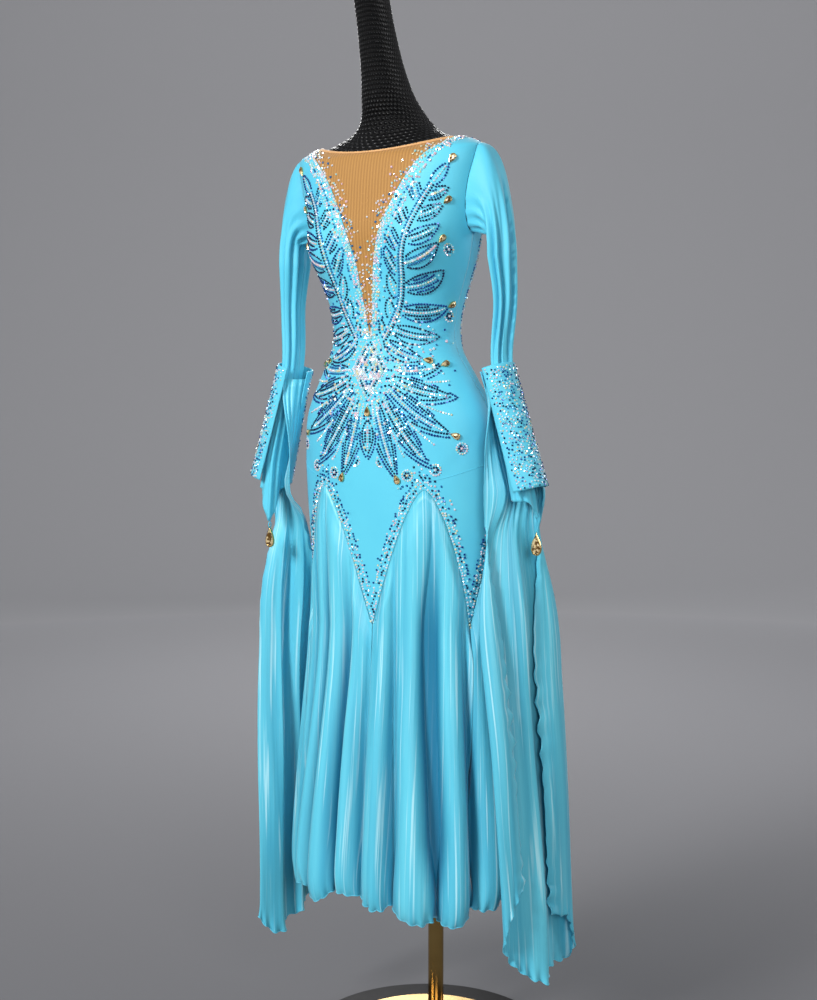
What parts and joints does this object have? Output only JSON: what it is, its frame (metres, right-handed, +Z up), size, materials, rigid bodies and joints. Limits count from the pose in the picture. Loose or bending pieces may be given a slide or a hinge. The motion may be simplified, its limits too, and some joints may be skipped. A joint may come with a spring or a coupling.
{
  "type": "ballroom dance dress on dress form stand",
  "caption": "Long-sleeved ballroom dance dress with a nude V inset, stoned bodice, gathered godet skirt and arm floats, worn by a limbless dress form on a pole stand.",
  "frame": {"origin": "centre of the base plate's underside, on the floor", "axes": "+Z up; the dress faces -Y; +X is the wearer's left"},
  "size_m": [0.5918, 0.4547, 1.9052],
  "materials": {
    "jersey": "matt stretch jersey, bright turquoise",
    "satin_chiffon": "satin chiffon with a soft vertical sheen",
    "nude_mesh": "fine ribbed stretch mesh in a tan shade",
    "form_black": "black shell with a fine woven, slightly glossy cover",
    "base_black": "black gloss",
    "brass": "polished brass",
    "gold_stone": "amber cut stone in a gold-coloured setting"
  },
  "bodies": {
    "root": {"bodice_front": "jersey", "bodice_back": "jersey", "sleeve_left": "jersey", "sleeve_right": "jersey", "cuff_left": "jersey", "cuff_right": "jersey", "hand_loop_left": "jersey", "hand_loop_right": "jersey", "float_left": "satin_chiffon", "float_right": "satin_chiffon", "godet_1": "satin_chiffon", "godet_2": "satin_chiffon", "godet_3": "satin_chiffon", "godet_4": "satin_chiffon", "godet_5": "satin_chiffon", "godet_6": "satin_chiffon", "front_inset": "nude_mesh", "back_inset": "nude_mesh", "neck_binding_front": "nude_mesh", "neck_binding_back": "nude_mesh", "form_torso": "form_black", "base_plate": "base_black", "base_inlay": "brass", "pole": "brass", "pendant_left": "gold_stone", "pendant_right": "gold_stone"}
  },
  "joints": []
}
